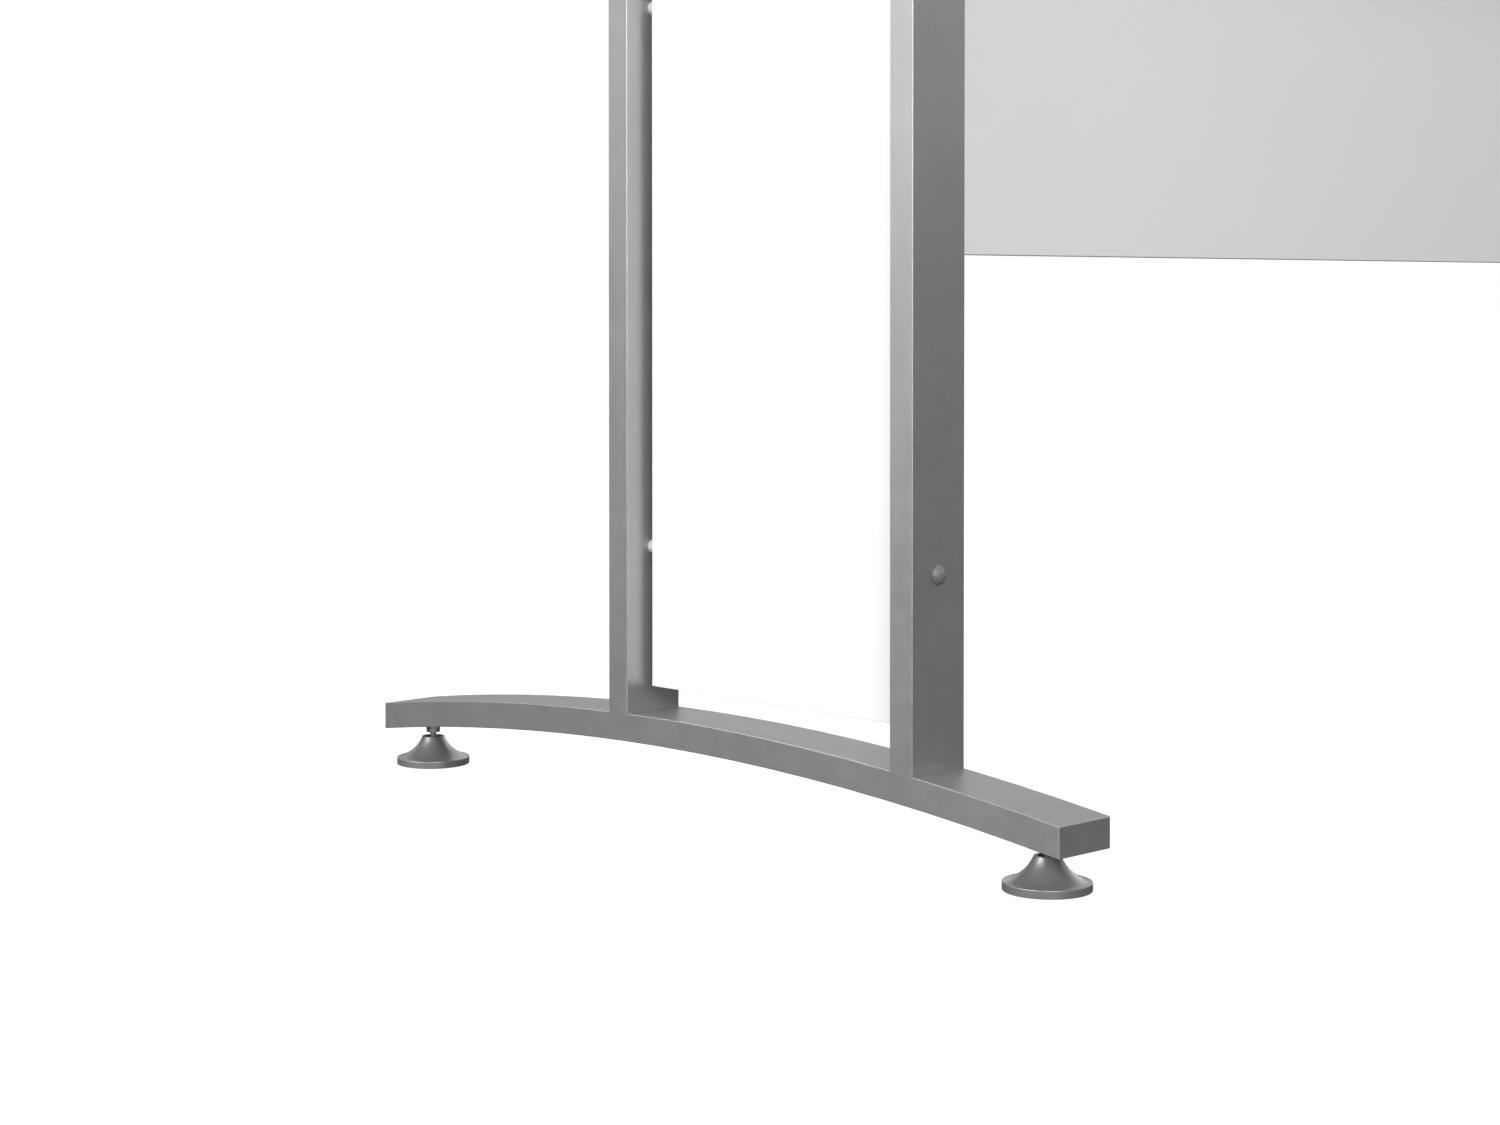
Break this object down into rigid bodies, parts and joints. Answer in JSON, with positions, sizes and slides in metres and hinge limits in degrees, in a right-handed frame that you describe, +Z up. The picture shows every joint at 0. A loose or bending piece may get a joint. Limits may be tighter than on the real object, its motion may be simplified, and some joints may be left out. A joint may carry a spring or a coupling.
{
  "type": "desk underframe",
  "caption": "Free-standing desk underframe: end frames on arched feet with white infill boards, crossbeams, a modesty board and swivelling levelling glides.",
  "frame": {"origin": "on the floor, at the middle of the footprint", "axes": "+X along the desk's width, +Y towards the user's side, -Y towards the visitor's side with the modesty board, +Z up"},
  "size_m": [1.7668, 0.69, 0.715],
  "materials": {
    "frame_paint": "fine satin silver-grey powder coat",
    "glide_paint": "satin silver-grey",
    "zinc_steel": "zinc-plated",
    "white_board": "white melamine-faced chipboard",
    "white_edging": "white edge band",
    "grey_plastic": "moulded, satin",
    "pale_nylon": "natural nylon",
    "floor_pad": "matt"
  },
  "bodies": {
    "frame": {"left_foot_tube": "frame_paint", "left_foot_end_plates": "frame_paint", "left_glide_bosses": "zinc_steel", "left_visitor_upright": "frame_paint", "left_user_upright": "frame_paint", "left_top_rail": "frame_paint", "left_rail_end_caps": "grey_plastic", "left_infill_board": "white_board", "left_infill_edging": "white_edging", "left_infill_inserts": "zinc_steel", "left_infill_spacers": "pale_nylon", "left_infill_screws": "zinc_steel", "left_infill_screw_caps": "grey_plastic", "left_crossbeam_bolts": "zinc_steel", "left_modesty_bracket": "frame_paint", "left_modesty_bracket_screws": "zinc_steel", "right_foot_tube": "frame_paint", "right_foot_end_plates": "frame_paint", "right_glide_bosses": "zinc_steel", "right_visitor_upright": "frame_paint", "right_user_upright": "frame_paint", "right_top_rail": "frame_paint", "right_rail_end_caps": "grey_plastic", "right_infill_board": "white_board", "right_infill_edging": "white_edging", "right_infill_inserts": "zinc_steel", "right_infill_spacers": "pale_nylon", "right_infill_screws": "zinc_steel", "right_infill_screw_caps": "grey_plastic", "right_crossbeam_bolts": "zinc_steel", "right_modesty_bracket": "frame_paint", "right_modesty_bracket_screws": "zinc_steel", "modesty_board": "white_board", "modesty_edging": "white_edging", "modesty_inserts": "zinc_steel", "modesty_screws": "zinc_steel", "visitor_crossbeam": "frame_paint", "user_crossbeam": "frame_paint", "crossbeam_end_blocks": "zinc_steel"},
    "left_visitor_cup": {"left_visitor_glide_cup": "grey_plastic"},
    "left_visitor_spindle": {"left_visitor_glide_spindle": "zinc_steel"},
    "left_visitor_bell": {"left_visitor_glide_bell": "glide_paint", "left_visitor_glide_pad": "floor_pad"},
    "left_user_cup": {"left_user_glide_cup": "grey_plastic"},
    "left_user_spindle": {"left_user_glide_spindle": "zinc_steel"},
    "left_user_bell": {"left_user_glide_bell": "glide_paint", "left_user_glide_pad": "floor_pad"},
    "right_visitor_cup": {"right_visitor_glide_cup": "grey_plastic"},
    "right_visitor_spindle": {"right_visitor_glide_spindle": "zinc_steel"},
    "right_visitor_bell": {"right_visitor_glide_bell": "glide_paint", "right_visitor_glide_pad": "floor_pad"},
    "right_user_cup": {"right_user_glide_cup": "grey_plastic"},
    "right_user_spindle": {"right_user_glide_spindle": "zinc_steel"},
    "right_user_bell": {"right_user_glide_bell": "glide_paint", "right_user_glide_pad": "floor_pad"}
  },
  "joints": [
    {"name": "left_visitor_height", "type": "slide", "parent": "frame", "child": "left_visitor_cup", "axis": [0, 0, -1], "range_m": [0, 0.012]},
    {"name": "left_visitor_spin", "type": "hinge", "parent": "left_visitor_cup", "child": "left_visitor_spindle", "pos_m": [-0.855, -0.315, 0.013], "axis": [0, 0, -1], "range_deg": [-10, 4330]},
    {"name": "left_visitor_tilt", "type": "hinge", "parent": "left_visitor_cup", "child": "left_visitor_bell", "pos_m": [-0.855, -0.315, 0.013], "axis": [1, 0, 0], "range_deg": [-8, 8]},
    {"name": "left_user_height", "type": "slide", "parent": "frame", "child": "left_user_cup", "axis": [0, 0, -1], "range_m": [0, 0.012]},
    {"name": "left_user_spin", "type": "hinge", "parent": "left_user_cup", "child": "left_user_spindle", "pos_m": [-0.855, 0.315, 0.013], "axis": [0, 0, -1], "range_deg": [-10, 4330]},
    {"name": "left_user_tilt", "type": "hinge", "parent": "left_user_cup", "child": "left_user_bell", "pos_m": [-0.855, 0.315, 0.013], "axis": [1, 0, 0], "range_deg": [-8, 8]},
    {"name": "right_visitor_height", "type": "slide", "parent": "frame", "child": "right_visitor_cup", "axis": [0, 0, -1], "range_m": [0, 0.012]},
    {"name": "right_visitor_spin", "type": "hinge", "parent": "right_visitor_cup", "child": "right_visitor_spindle", "pos_m": [0.855, -0.315, 0.013], "axis": [0, 0, -1], "range_deg": [-10, 4330]},
    {"name": "right_visitor_tilt", "type": "hinge", "parent": "right_visitor_cup", "child": "right_visitor_bell", "pos_m": [0.855, -0.315, 0.013], "axis": [1, 0, 0], "range_deg": [-8, 8]},
    {"name": "right_user_height", "type": "slide", "parent": "frame", "child": "right_user_cup", "axis": [0, 0, -1], "range_m": [0, 0.012]},
    {"name": "right_user_spin", "type": "hinge", "parent": "right_user_cup", "child": "right_user_spindle", "pos_m": [0.855, 0.315, 0.013], "axis": [0, 0, -1], "range_deg": [-10, 4330]},
    {"name": "right_user_tilt", "type": "hinge", "parent": "right_user_cup", "child": "right_user_bell", "pos_m": [0.855, 0.315, 0.013], "axis": [1, 0, 0], "range_deg": [-8, 8]}
  ],
  "couplings": [
    {"joint": "left_visitor_spin", "follows": "left_visitor_height", "rad_per_m": 6283.2},
    {"joint": "left_user_spin", "follows": "left_user_height", "rad_per_m": 6283.2},
    {"joint": "right_visitor_spin", "follows": "right_visitor_height", "rad_per_m": 6283.2},
    {"joint": "right_user_spin", "follows": "right_user_height", "rad_per_m": 6283.2}
  ]
}
